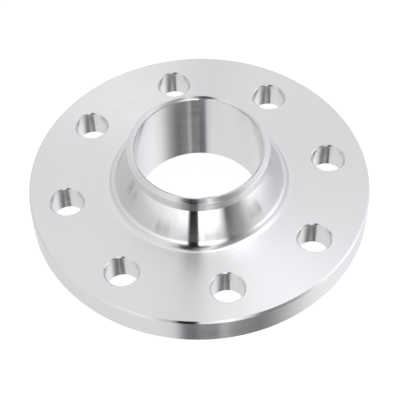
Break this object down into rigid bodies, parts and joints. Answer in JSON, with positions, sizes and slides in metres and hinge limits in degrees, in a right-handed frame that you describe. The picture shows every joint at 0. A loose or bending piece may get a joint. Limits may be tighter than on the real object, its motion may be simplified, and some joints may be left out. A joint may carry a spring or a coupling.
{
  "type": "weld neck flange",
  "caption": "Weld neck pipe flange in turned stainless steel: flat drilled ring, raised sealing face, tapered hub and a bevelled butt-weld end around a straight through bore.",
  "frame": {"origin": "centre of the raised sealing face, on the pipe axis", "axes": "+Z along the pipe axis from the sealing face towards the weld end; the bolt holes straddle X and Y"},
  "size_m": [0.185, 0.185, 0.0465],
  "materials": {
    "turned_steel": "bright satin, fine concentric turning marks"
  },
  "bodies": {
    "root": {"flange": "turned_steel"}
  },
  "joints": []
}
